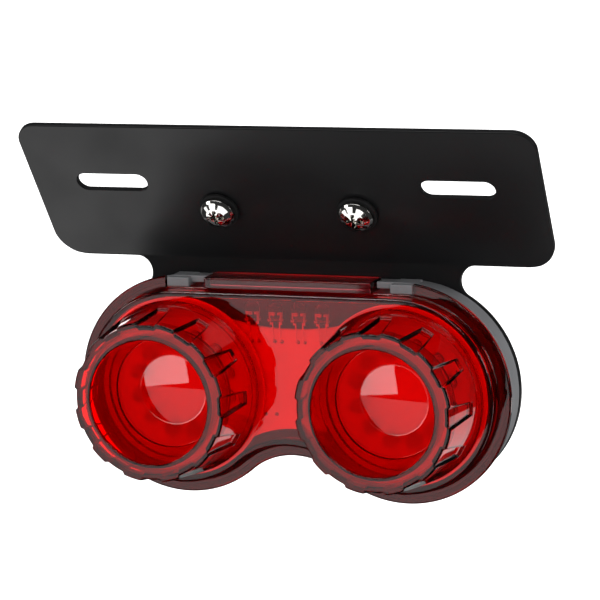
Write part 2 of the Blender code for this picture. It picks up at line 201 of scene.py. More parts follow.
@dataclass(frozen=True)
class LampShape:
    """The lamp's outline: a circle about each eye, a straight top, and a hollow waist below."""

    eye_x: float
    waist_drop: float = 47.5
    step: float = math.radians(2.5)

    @property
    def lean(self) -> float:
        """The angle at which an eye's circle meets the waist's."""
        return math.atan2(self.waist_drop, self.eye_x)

    def waist(self, start: float, end: float) -> tuple[Array, Array]:
        """The waist, whose circle shrinks as the lamp's radius grows.

        Args:
            start: the angle where it starts, seen from the circle's centre.
            end: the angle where it ends.

        Returns:
            Its feet and its normals.
        """
        span = math.hypot(self.eye_x, self.waist_drop)
        out = directions(start, end, max(3, round(abs(end - start) / self.step)))
        return np.array((0, -self.waist_drop)) + span * out, -out

    def outline(self) -> Outline:
        """Goes round the right eye, the straight top, the left eye and the waist.

        Returns:
            The outline, in which a distance is a radius about the eyes.
        """
        turn = math.pi * 1.5 - self.lean
        right = directions(self.lean - math.pi, math.pi / 2, round(turn / self.step))
        left = right[::-1] * (-1, 1)
        xs = np.linspace(self.eye_x, -self.eye_x, 26)[1:-1]
        top = np.stack((xs, np.zeros_like(xs)), axis=1)
        feet, normals = self.waist(math.pi - self.lean, self.lean)
        parts = (
            (np.full(right.shape, (self.eye_x, 0.0)), right),
            (top, np.full(top.shape, (0.0, 1.0))),
            (np.full(left.shape, (-self.eye_x, 0.0)), left),
            (feet[1:-1], normals[1:-1]),
        )
        return Outline(np.concatenate([p[0] for p in parts]), np.concatenate([p[1] for p in parts]))


def rounded(corners: Sequence[tuple[float, float, float]], closed: bool = False, steps: int = 4) -> Array:
    """A profile with round corners.

    An arc of radius f in a corner of half angle a touches the sides f / tan(a) from the corner, about a
    centre f / sin(a) along the corner's bisector.

    Args:
        corners: (distance, height, rounding) of each corner; a rounding of 0 keeps it sharp.
        closed: whether the last corner joins the first.
        steps: how many faces make one rounding.

    Returns:
        (k, 2) rows.
    """
    points = np.array(corners, float)
    rows: list[Array] = []
    for i, (x, y, radius) in enumerate(points):
        corner = np.array((x, y))
        if radius == 0 or (not closed and i in (0, len(points) - 1)):
            rows.append(corner[None])
            continue
        back = points[i - 1, :2] - corner
        ahead = points[(i + 1) % len(points), :2] - corner
        back, ahead = back / np.linalg.norm(back), ahead / np.linalg.norm(ahead)
        half = math.acos(float(np.clip(back @ ahead, -1, 1))) / 2
        reach, turn = radius / math.tan(half), math.pi - 2 * half
        centre = corner + (back + ahead) / np.linalg.norm(back + ahead) * radius / math.sin(half)
        first, last = corner + back * reach - centre, corner + ahead * reach - centre
        share = np.linspace(0, 1, steps + 1)[:, None]
        bend = (np.sin((1 - share) * turn) * first + np.sin(share * turn) * last) / math.sin(turn)
        rows += [(corner + back * (reach + SUPPORT))[None], centre + bend]
        rows.append((corner + ahead * (reach + SUPPORT))[None])
    return np.concatenate(rows)


# Meshes


class Operation(Enum):
    """How one solid is combined with another."""

    CUT = "DIFFERENCE"
    JOIN = "UNION"


class Shape:
    """Lofts gathered into one mesh."""

    def __init__(self) -> None:
        """Starts with no points and no faces."""
        self.points: list[Array] = []
        self.faces: list[list[int]] = []

    def loft(self, rings: Array, closed: bool = False) -> "Shape":
        """Joins rings of points with four-sided faces.

        The rings run from the top down the outer side, each anticlockwise seen from above, which makes
        the faces point outwards.

        Args:
            rings: (k, n, 3) points.
            closed: joins the last ring to the first; otherwise both ends are capped.

        Returns:
            This shape.
        """
        start = sum(len(p) for p in self.points)
        index = np.arange(rings.shape[0] * rings.shape[1]).reshape(rings.shape[:2]) + start
        upper, lower = (index, np.roll(index, -1, axis=0)) if closed else (index[:-1], index[1:])
        quads = np.stack((upper, lower, np.roll(lower, -1, axis=1), np.roll(upper, -1, axis=1)), axis=-1)
        self.faces += quads.reshape(-1, 4).tolist()
        if not closed:
            self.faces += [index[0].tolist(), index[-1, ::-1].tolist()]
        self.points.append(rings.reshape(-1, 3))
        return self

    def build(self, name: str, stand: Stand = LAMP, finish: "Finish | None" = None) -> bpy.types.Object:
        """Makes the object, with coinciding points merged and only sharp edges creased.

        Args:
            name: the object's name.
            stand: where the shape's own axes lie.
            finish: its material, if it isn't a cutter.

        Returns:
            The object.
        """
        mesh = bpy.data.meshes.new(name)
        mesh.from_pydata(stand.place(np.concatenate(self.points)).tolist(), [], self.faces)
        made = bmesh.new()
        made.from_mesh(mesh)
        bmesh.ops.remove_doubles(made, verts=made.verts, dist=1e-7)
        bmesh.ops.dissolve_degenerate(made, edges=made.edges, dist=1e-8)
        made.to_mesh(mesh)
        made.free()
        piece = bpy.data.objects.new(name, mesh)
        bpy.context.scene.collection.objects.link(piece)
        if finish is not None:
            mesh.materials.append(finish.material())
        return smooth(piece)


def smooth(piece: bpy.types.Object) -> bpy.types.Object:
    """Shades a piece smooth except at its sharp edges.

    Args:
        piece: any mesh object.

    Returns:
        The same piece.
    """
    piece.data.shade_smooth()
    piece.data.set_sharp_from_angle(angle=SHARP)
    return piece


def combine(piece: bpy.types.Object, other: bpy.types.Object, operation: Operation) -> None:
    """Cuts a solid with another or joins it on, and removes the other.

    Args:
        piece: the solid that stays.
        other: the cutter or addition.
        operation: what is done.
    """
    modifier = piece.modifiers.new(operation.name, "BOOLEAN")
    modifier.solver = "EXACT"
    modifier.operation = operation.value
    modifier.object = other
    mesh = bpy.data.meshes.new_from_object(piece.evaluated_get(bpy.context.evaluated_depsgraph_get()))
    piece.modifiers.clear()
    piece.data = mesh
    bpy.data.objects.remove(other)
    smooth(piece)


def turned(outline: Outline, rows: Array | Sequence[Sequence[float]], closed: bool = False) -> Shape:
    """A solid whose section, given as rows from the top down, is carried round an outline."""
    return Shape().loft(outline.sweep(np.array(rows)), closed)


def bar(outline: Outline, low: float, high: float, grown: float = 0.0) -> Shape:
    """A plain bar between two heights, at one distance from its outline."""
    return turned(outline, ((grown, high), (grown, low)))


def drill(outline: Outline, low: float, high: float, chamfer: float) -> Shape:
    """A cutter that runs a millimetre past two faces and takes a chamfer off both."""
    rows = ((chamfer + 1, high + 1), (0.0, high - chamfer), (0.0, low + chamfer), (chamfer + 1, low - 1))
    return turned(outline, rows)


def hand_over(piece: bpy.types.Object, slot: str, *nodes: str) -> None:
    """Rides a finished piece on the lamp, in place of its CAD nodes or as an addition to them.

    Args:
        piece: the finished piece.
        slot: the record's material slot; not used.
        nodes: the CAD nodes that it stands for, none for an addition.
    """
    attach(piece, "root")
    if nodes:
        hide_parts(*nodes)
    LOG.info("%s: %d faces, for %s", piece.name, len(piece.data.polygons), ", ".join(nodes) or "no node")


# Finishes


def linear(code: str) -> tuple[float, float, float, float]:
    """An sRGB hex colour as the linear values that shaders take."""
    shares = [int(code[i : i + 2], 16) / 255 for i in (1, 3, 5)]
    return (*[s / 12.92 if s <= 0.04045 else ((s + 0.055) / 1.055) ** 2.4 for s in shares], 1.0)


def per_mm(size: float) -> float:
    """The texture scale whose pattern repeats about every size millimetres."""
    return 1 / (size * MM)


def add_node(
    tree: bpy.types.NodeTree,
    kind: str,
    sockets: dict[str | int, Any] | None = None,
    **settings: str,
) -> bpy.types.Node:
    """Adds a node.

    Args:
        tree: the material's or world's node tree.
        kind: the node's type.
        sockets: its inputs, each a plain value or the output socket that feeds it.
        settings: its properties.

    Returns:
        The node.
    """
    node = tree.nodes.new(kind)
    for key, value in settings.items():
        setattr(node, key, value)
    for key, value in (sockets or {}).items():
        if isinstance(value, bpy.types.NodeSocket):
            tree.links.new(value, node.inputs[key])
        else:
            node.inputs[key].default_value = value
    return node


@dataclass(frozen=True)
class Finish:
    """A material by its real name, and what all finishes share: a fine relief and a varying roughness."""

    name: str
    colour: str
    roughness: tuple[float, float]
    grain: float  # millimetres between the relief's bumps
    relief: float  # its height in micrometres
    cloud: float = 12.0  # millimetres between the patches of roughness
    other_colour: str = ""
    metallic: float = 0.0
    specular: float = 0.5

    @functools.cache
    def material(self) -> bpy.types.Material:
        """Makes the material, the first time that it is asked for.

        Returns:
            The material.
        """
        made = bpy.data.materials.new(self.name)
        made.use_nodes = True
        tree = made.node_tree
        shader = tree.nodes["Principled BSDF"]
        place = add_node(tree, "ShaderNodeTexCoord").outputs["Object"]
        sockets = {"Vector": place, "Scale": per_mm(self.cloud), "Detail": 3.0}
        cloud = add_node(tree, "ShaderNodeTexNoise", sockets).outputs["Fac"]
        sockets = {"Vector": place, "Scale": per_mm(self.grain), "Detail": 2.0}
        grain = add_node(tree, "ShaderNodeTexNoise", sockets).outputs["Fac"]
        low, high = self.roughness
        sockets = {"Value": cloud, "From Min": 0.3, "From Max": 0.7, "To Min": low, "To Max": high}
        spread = add_node(tree, "ShaderNodeMapRange", sockets)
        tree.links.new(spread.outputs["Result"], shader.inputs["Roughness"])
        sockets = {"Height": grain, "Strength": 1.0, "Distance": self.relief * MM * MM}
        bump = add_node(tree, "ShaderNodeBump", sockets)
        tree.links.new(bump.outputs["Normal"], shader.inputs["Normal"])
        if self.other_colour:
            # A Mix node's colour sockets come after its number and vector ones: 6 and 7 in, 2 out.
            sockets = {"Factor": cloud, 6: linear(self.colour), 7: linear(self.other_colour)}
            mix = add_node(tree, "ShaderNodeMix", sockets, data_type="RGBA")
            tree.links.new(mix.outputs[2], shader.inputs["Base Color"])
        else:
            shader.inputs["Base Color"].default_value = linear(self.colour)
        shader.inputs["Metallic"].default_value = self.metallic
        shader.inputs["Specular IOR Level"].default_value = self.specular
        self.dress(tree, shader)
        return made

    def dress(self, tree: bpy.types.NodeTree, shader: bpy.types.Node) -> None:
        """Adds what only this finish has; a plain one has nothing more."""


@dataclass(frozen=True)
class ClearPlastic(Finish):
    """A see-through moulding whose colour deepens with the length of plastic that light crosses."""

    ior: float = 1.49
    kept: tuple[float, float, float] = (1.0, 1.0, 1.0)  # of each colour over one millimetre
    frost: float = 0.0  # roughness of a surface met from within, as of a back that was spark-eroded

    def dress(self, tree: bpy.types.NodeTree, shader: bpy.types.Node) -> None:
        """Sets transmission, the frosted back and the absorption.

        Absorption per metre is -ln(share kept over one millimetre) * 1000 for each colour.

        Args:
            tree: the material's nodes.
            shader: its Principled BSDF.
        """
        if self.frost > 0:
            polished = shader.inputs["Roughness"].links[0].from_socket
            within = add_node(tree, "ShaderNodeNewGeometry").outputs["Backfacing"]
            sockets = {"Factor": within, "A": polished, "B": self.frost}
            chosen = add_node(tree, "ShaderNodeMix", sockets, data_type="FLOAT")
            tree.links.new(chosen.outputs["Result"], shader.inputs["Roughness"])
        shader.inputs["Transmission Weight"].default_value = 1.0
        shader.inputs["IOR"].default_value = self.ior
        loss = [-math.log(max(share, 1e-3)) / MM for share in self.kept]
        density = max(*loss, 1.0)
        colour = (*[1 - value / density for value in loss], 1.0)
        volume = add_node(tree, "ShaderNodeVolumeAbsorption", {"Color": colour, "Density": density})
        output = next(n for n in tree.nodes if n.type == "OUTPUT_MATERIAL")
        tree.links.new(volume.outputs["Volume"], output.inputs["Volume"])


@dataclass(frozen=True)
class CoatedFinish(Finish):
    """A finish under a thin clear coat."""

    coat: float = 0.3
    coat_roughness: float = 0.2

    def dress(self, tree: bpy.types.NodeTree, shader: bpy.types.Node) -> None:
        """Adds the coat and its roughness."""
        shader.inputs["Coat Weight"].default_value = self.coat
        shader.inputs["Coat Roughness"].default_value = self.coat_roughness


# Powder coat sprayed and baked on steel: black, half gloss, with an orange-peel ripple.
POWDER_COAT = Finish(
    "baked_black_powder_coat", "#0a0a0b", (0.3, 0.4), 1.3, 6.0, 20.0, "#0e0e0f", specular=0.25
)
# Injection-moulded grey ABS: an even spark-eroded grain that scatters light.
GREY_ABS = Finish("moulded_grey_abs", "#535355", (0.42, 0.55), 0.4, 12.0, 9.0, "#5b5c5e")
# Polished red acrylic: clear and glossy face on, almost black where light runs along a wall.
RED_ACRYLIC = ClearPlastic(
    "polished_red_acrylic", "#ff2a30", (0.0, 0.03), 16.0, 5.0, kept=(0.97, 0.2, 0.22)
)
# The rings' acrylic is a shade deeper, so that light piped along their walls comes out dark red.
EYE_ACRYLIC = ClearPlastic("thick_red_acrylic", "#f4242c", (0.0, 0.03), 14.0, 4.0, kept=(0.93, 0.2, 0.22))
# The eyes' floors are polished in front and finely eroded behind, which blurs what lies under them.
FLOOR_ACRYLIC = ClearPlastic(
    "red_acrylic_with_eroded_back", "#ff2a30", (0.0, 0.03), 14.0, 4.0, kept=(0.98, 0.2, 0.22), frost=0.5
)
# Pale pink polycarbonate, polished outside and slightly hazy from the mould.
PINK_POLYCARBONATE = ClearPlastic(
    "pink_tinted_polycarbonate", "#fbe4e6", (0.02, 0.08), 6.0, 4.0, ior=1.58, kept=(0.985, 0.84, 0.86)
)
# Water-clear epoxy cast round an LED's chip.
CLEAR_EPOXY = ClearPlastic(
    "cast_clear_epoxy", "#fdfdfd", (0.0, 0.03), 3.0, 1.0, ior=1.53, kept=(0.998, 0.998, 0.997)
)
# White solder mask over glass fibre: a satin skin with the weave just showing.
SOLDER_MASK = CoatedFinish("white_solder_mask", "#e9e6e2", (0.4, 0.5), 0.5, 4.0, 10.0, "#f2f0ec", coat=0.4)
# Aluminium evaporated on an eroded moulding: a bright satin that spreads the light.
METALLISED = Finish("satin_metallised_plastic", "#f0f0f1", (0.3, 0.45), 5.0, 10.0, 8.0, metallic=0.15)
# Bright nickel and chrome plate on steel: sharp reflections.
CHROME = Finish("bright_chrome_plate", "#e8e6e2", (0.03, 0.08), 3.0, 1.5, 4.0, metallic=1.0)
# Zinc plate, blue passivated: dull silver with patches.
ZINC = Finish("blue_passivated_zinc", "#b9bdc2", (0.25, 0.42), 0.6, 4.0, 3.0, "#a9a9a6", metallic=1.0)
# Tinned copper and solder: soft bright silver.
TIN = Finish("tinned_copper", "#d8d8d6", (0.2, 0.35), 0.8, 4.0, 2.0, metallic=1.0)
# Matt silver plate on an LED's lead frame: pale, and it scatters most of its light.
SILVER = Finish("matt_silver_plate", "#f0efec", (0.4, 0.55), 0.8, 3.0, 2.0, metallic=0.2)
# Moulded nitrile rubber: matt black with a dusty bloom.
RUBBER = Finish("moulded_nitrile_rubber", "#0c0c0d", (0.6, 0.8), 0.5, 14.0, 6.0, "#141415")
# Emulsion rolled on the studio's floor: matt off-white.
FLOOR_PAINT = Finish("matt_white_paint", "#f4f4f4", (0.8, 0.9), 2.0, 5.0, 60.0, "#f7f7f7")


# Sub-assemblies


@dataclass
class Bracket:
    """One steel sheet cut to its flat pattern, holed, and folded forwards across its neck."""

    shape: LampShape
    sheet: float = 2.0
    radius: float = 36.5  # of its lower part about the eyes
    fold_start: float = 41.45
    fold_mid_r: float = 2.5
    fold_rows: int = 13
    neck_half: float = 56.4
    wing_foot: float = 41.6
    wing_top: float = 99.6
    foot_half: float = 91.0
    top_r: float = 7.5
    foot_r: float = 11.0
    edge: float = 0.35
    chamfer: float = 0.25
    slot_x: float = 62.2
    slot_up: float = 75.1
    slot_reach: float = 9.5
    slot_r: float = 3.5
    hole_r: float = 3.3
    screw_x: float = 25.0
    screw_up: float = 64.4
    stud_x: float = 24.0
    grommet_up: float = 6.0
    grommet_r: float = 6.3
    top_half: float = field(init=False)
    angle: float = field(init=False)

    def __post_init__(self) -> None:
        """Takes the wings' width and the fold's angle from the frame."""
        self.top_half = box_mm("bracket")[1][0]
        mount = next(m for m in frame["record"]["mounts"] if m["name"] == "plate_face")
        self.angle = math.atan2(-mount["axis"][2], -mount["axis"][1])

    def pattern(self) -> Outline:
        """The flat pattern's right half, from the waist up to the top, and its mirror image.

        The bay under each wing is the arc that touches both the wing's foot line and the lamp's outline:
        its radius r solves (a + r)^2 + (b - r)^2 = (R + r)^2 for a neck a out from the eye and a foot b up.

        Returns:
            The outline of the flat sheet.
        """
        lamp, a, b = self.shape, self.neck_half - self.shape.eye_x, self.wing_foot
        offset = a - b - self.radius
        bay_r = -offset - math.sqrt(offset * offset - a * a - b * b + self.radius**2)
        meeting = math.atan2(b - bay_r, a + bay_r)
        waist_r = math.hypot(lamp.eye_x, lamp.waist_drop) - self.radius
        arcs = (
            ((0.0, -lamp.waist_drop), waist_r, math.pi / 2, lamp.lean, -1),
            ((lamp.eye_x, 0.0), self.radius, lamp.lean - math.pi, meeting, 1),
            ((self.neck_half + bay_r, b - bay_r), bay_r, math.pi + meeting, math.pi / 2, -1),
            ((self.foot_half - self.foot_r, b + self.foot_r), self.foot_r, -math.pi / 2, 0.0, 1),
            ((self.top_half - self.top_r, self.wing_top - self.top_r), self.top_r, 0.0, math.pi / 2, 1),
        )
        feet, normals = [], []
        for number, (centre, radius, start, end, facing) in enumerate(arcs):
            count = max(8, round(abs(end - start) / lamp.step))
            out = directions(start, end, count)[1 if 0 < number < 3 else 0 :]
            feet.append(np.array(centre) + radius * out)
            normals.append(facing * out)
        right, out = np.concatenate(feet), np.concatenate(normals)
        flip = np.array((-1.0, 1.0))
        return Outline(np.concatenate((right, right[:0:-1] * flip)), np.concatenate((out, out[:0:-1] * flip)))

    def folded(self, points: Array) -> Array:
        """Bends flat points (x, along, offset) round the fold.

        The turn grows from 0 to the fold's angle over its mid line's length; past it the sheet runs straight.

        Args:
            points: (n, 3) flat points, in millimetres.

        Returns:
            (n, 3) points on the lamp's stand.
        """
        along, offset = points[:, 1], points[:, 2]
        turn = np.clip((along - self.fold_start) / self.fold_mid_r, 0, self.angle)
        past = np.maximum(along - self.fold_start - self.angle * self.fold_mid_r, 0)
        inner = self.fold_mid_r - offset
        up = np.minimum(along, self.fold_start) + inner * np.sin(turn) + past * math.cos(self.angle)
        out = self.sheet / 2 + self.fold_mid_r - inner * np.cos(turn) + past * math.sin(self.angle)
        return np.stack((points[:, 0], up, out), axis=1)

    def build(self) -> None:
        """Cuts the pattern's holes, splits it at rows across the fold, and bends it."""
        half, inset = self.sheet / 2, -3 * self.edge
        rows = rounded(((inset, half, 0), (0, half, self.edge), (0, -half, self.edge), (inset, -half, 0)))
        sheet = turned(self.pattern(), rows).build("finished_bracket", FLAT)
        sheet.data.materials.append(POWDER_COAT.material())
        holes = [(round_outline((0, self.grommet_up), 64), self.grommet_r)]
        for _, side in SIDES:
            holes.append((pill_outline((side * self.slot_x, self.slot_up), self.slot_reach), self.slot_r))
            holes.append((round_outline((side * self.screw_x, self.screw_up), 48), self.hole_r))
            holes.append((round_outline((side * self.stud_x, 0), 48), self.hole_r))
        for outline, radius in holes:
            grown = Outline(outline.feet + radius * outline.normals, outline.normals)
            combine(sheet, drill(grown, -half, half, self.chamfer).build("hole", FLAT), Operation.CUT)
        made = bmesh.new()
        made.from_mesh(sheet.data)
        for share in np.linspace(0, 1, self.fold_rows):
            place = (self.fold_start + self.angle * self.fold_mid_r * share) * MM
            everything = made.verts[:] + made.edges[:] + made.faces[:]
            bmesh.ops.bisect_plane(made, geom=everything, plane_co=(0, place, 0), plane_no=(0, 1, 0))
        bmesh.ops.triangulate(made, faces=[f for f in made.faces if len(f.verts) > 4])
        made.to_mesh(sheet.data)
        made.free()
        points = np.zeros(len(sheet.data.vertices) * 3, np.float32)
        sheet.data.vertices.foreach_get("co", points)
        bent = LAMP.place(self.folded(points.reshape(-1, 3).astype(float) / MM))
        sheet.data.vertices.foreach_set("co", bent.astype(np.float32).ravel())
        sheet.data.update()
        hand_over(smooth(sheet), "powder_coated_steel", "bracket")

    def plate_stand(self) -> Stand:
        """Finds the upper plate's front face.

        Returns:
            A stand whose origin lies between the screws and whose z is the face's normal.
        """
        flat = np.array(((0.0, 0.0, self.sheet / 2), (0.0, 1.0, self.sheet / 2)))
        start, ahead = self.folded(flat + (0, self.screw_up, 0))
        _, rise, forward = ((ahead - start) / np.linalg.norm(ahead - start)).tolist()
        return Stand(tuple(LAMP.place(start)), up=(0.0, -forward, rise), out=(0.0, -rise, -forward))


@dataclass
class Housing:
    """The grey tray behind the lens: drafted walls, a floor with bosses, and two lugs on its top edge."""

    shape: LampShape
    wall: float = 2.2
    floor: float = 2.0
    draft: float = 1.2
    rim: float = 13.7
    lug: tuple[float, float, float, float] = (36.5, 44.6, 33.9, 37.2)  # its ends across and its heights
    lug_front: float = 16.5
    lug_back: float = 6.0
    lug_edge: float = 0.45
    notch_half: float = 31.0
    notch_back: float = 6.6
    boss_r: float = 3.3
    stud_x: float = 24.0
    stud_r: float = 3.3
    outlet_up: float = 6.0
    outlet_r: float = 6.3

    def build(self) -> None:
        """Turns the tray's section round the outline, hollows it, and adds what stands on it."""
        low, high = box_mm("rear_housing")
        radius, back, rim = high[0] - self.shape.eye_x, low[2], self.rim
        foot, inner, floor = radius - self.draft, radius - self.wall, back + self.floor
        outline = self.shape.outline()
        rows = rounded(((inner, rim, 0.3), (radius, rim, 0.3), (foot, back, 0.8), (10.0, back, 0)))
        # The solid starts at the rim's rounding, so that one cap closes its top until it is hollowed.
        tray = turned(outline, rows[2:]).build("finished_housing", LAMP, GREY_ABS)
        hollow = ((inner, rim + 3, 0), (inner, rim - 0.2, 0), (foot - self.wall, floor, 0.8), (8.0, floor, 0))
        combine(tray, turned(outline, rounded(hollow)).build("hollow"), Operation.CUT)
        for _, side in SIDES:
            self.stand_on(tray, side)
        outlet = bar(round_outline((0, self.outlet_up), 48), 0.0, 8.0, self.outlet_r)
        combine(tray, outlet.build("outlet"), Operation.CUT)
        notch = block_outline((-self.notch_half, 33.0), (self.notch_half, 40.0), 0.2)
        combine(tray, bar(notch, self.notch_back, 20.0).build("notch"), Operation.CUT)
        hand_over(tray, "grey_housing", "rear_housing")

    def stand_on(self, tray: bpy.types.Object, side: int) -> None:
        """Adds one side's lug and boss, and drills its stud's hole.

        Args:
            tray: the hollowed tray.
            side: -1 for left, 1 for right.
        """
        near, far = sorted((side * self.lug[0], side * self.lug[1]))
        block = block_outline((near, self.lug[2]), (far, self.lug[3]), 0.5)
        edge, top, foot = -self.lug_edge, self.lug_front, self.lug_back
        rows = ((edge, top, 0), (0, top, 0.4), (0, foot, 0), (edge, foot, 0))
        combine(tray, turned(block, rounded(rows)).build("lug"), Operation.JOIN)
        top, foot = self.rim + 0.3, box_mm("rear_housing")[0][2] + 1
        rows = ((0.3, top, 0), (self.boss_r - 0.3, top, 0.3), (self.boss_r, foot, 0), (0.3, foot, 0))
        boss = turned(round_outline((side * self.shape.eye_x, 0), 32), rounded(rows))
        combine(tray, boss.build("boss"), Operation.JOIN)
        hole = bar(round_outline((side * self.stud_x, 0), 32), 0.0, 8.0, self.stud_r)
        combine(tray, hole.build("hole"), Operation.CUT)


@dataclass
class LensCover:
    """The red cover: a raised face, a side wall and a flange, with a round opening under each eye."""

    shape: LampShape
    wall: float = 1.8
    face_r: float = 33.4
    flange: float = 1.7
    gap_half: float = 45.0
    opening_r: float = 26.5
    seal_width: float = 1.9

    def build(self) -> None:
        """Turns the cover's section round the outline, opens the eyes and cuts the flange at the top."""
        low, high = box_mm("lens_cover")
        radius, back, face = high[0] - self.shape.eye_x, low[2], high[2]
        inner = self.face_r - self.wall
        rows = rounded(
            (
                (self.face_r - 4, face, 0),
                (self.face_r, face, 0.9),
                (self.face_r + 0.25, back + self.flange, 0.7),
                (radius, back + self.flange, 0.5),
                (radius, back, 0.2),
                (inner + 0.2, back, 0.3),
                (inner, face - self.wall, 0.5),
                (inner - 4, face - self.wall, 0),
            ),
            steps=5,
        )
        cover = turned(self.shape.outline(), rows).build("finished_lens", LAMP, RED_ACRYLIC)
        for _, side in SIDES:
            opening = bar(round_outline((side * self.shape.eye_x, 0), 120), 10.0, 30.0, self.opening_r)
            combine(cover, opening.build("opening"), Operation.CUT)
        gap = block_outline((-self.gap_half, self.face_r - 0.05), (self.gap_half, 40.0), 0.4)
        combine(cover, bar(gap, 10.0, back + self.flange + 0.05).build("gap"), Operation.CUT)
        hand_over(cover, "red_lens", "lens_cover")

    def seal(self) -> None:
        """The rubber strip under the flange, open at the top where the window sits."""
        low, high = box_mm("lens_seal")
        radius = high[0] - self.shape.eye_x
        inner = radius - self.seal_width
        corners = [(radius, high[2]), (radius, low[2]), (inner, low[2]), (inner, high[2])]
        rows = rounded([(r, h, 0.25) for r, h in corners], closed=True, steps=3)
        strip = turned(self.shape.outline(), rows, closed=True).build("finished_seal", LAMP, RUBBER)
        gap = block_outline((-self.gap_half, 20.0), (self.gap_half, 42.0), 0.3)
        combine(strip, bar(gap, 10.0, 20.0).build("gap"), Operation.CUT)
        hand_over(strip, "black_rubber", "lens_seal")


